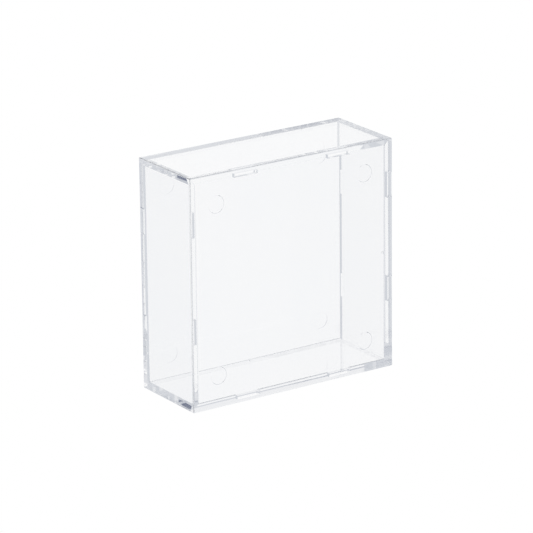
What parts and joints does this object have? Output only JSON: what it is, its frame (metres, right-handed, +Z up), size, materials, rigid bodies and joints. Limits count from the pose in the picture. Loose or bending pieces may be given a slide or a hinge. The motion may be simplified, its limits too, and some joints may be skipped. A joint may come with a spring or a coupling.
{
  "type": "display case",
  "caption": "Clear square display case for a flat round collectible, made of interlocking U-shaped halves that pull apart front to back.",
  "frame": {"origin": "middle of the face that the case stands on", "axes": "+Z up, +Y towards the back plate, +X to the right as seen from the front"},
  "size_m": [0.0826, 0.0318, 0.0825],
  "materials": {
    "clear_plastic": "clear, polished, colourless polystyrene"
  },
  "bodies": {
    "back": {"back_half": "clear_plastic"},
    "front": {"front_half": "clear_plastic"}
  },
  "joints": [
    {"name": "front_pull", "type": "slide", "parent": "back", "child": "front", "axis": [0, -1, 0], "range_m": [0, 0.045]}
  ]
}
